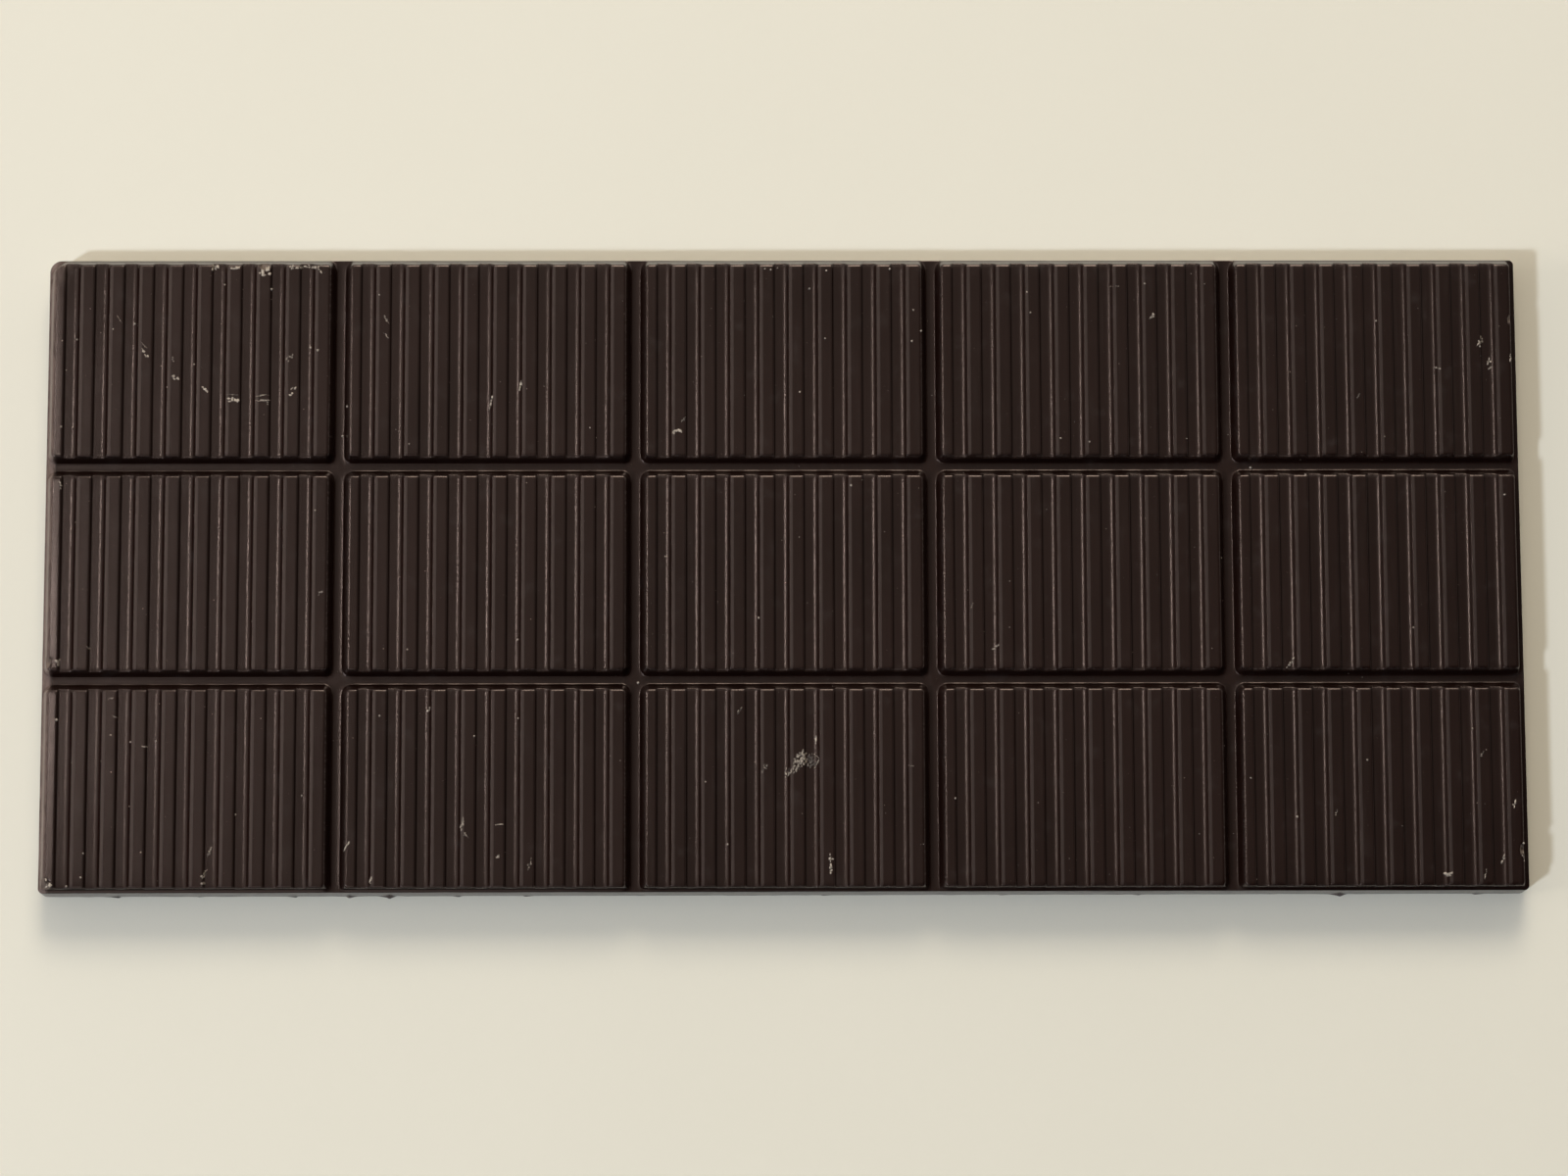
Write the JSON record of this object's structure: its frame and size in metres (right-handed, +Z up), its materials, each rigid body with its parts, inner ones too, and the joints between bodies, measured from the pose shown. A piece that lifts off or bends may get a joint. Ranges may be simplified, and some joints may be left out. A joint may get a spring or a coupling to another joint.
{
  "type": "chocolate bar",
  "caption": "Thin flat rectangular bar of moulded dark chocolate, scored by break grooves into ribbed blocks, lying on its plain back.",
  "frame": {"origin": "under the middle of the bar, on the surface that it rests on", "axes": "+X along the length of the bar, +Y across it towards the side with the rounder corner at its -X end, +Z up out of the ribbed face"},
  "size_m": [0.1754, 0.0762, 0.006],
  "materials": {
    "dark_chocolate": "satin, polished by the mould, with dusty scuffs"
  },
  "bodies": {
    "root": {"bar": "dark_chocolate"}
  },
  "joints": []
}
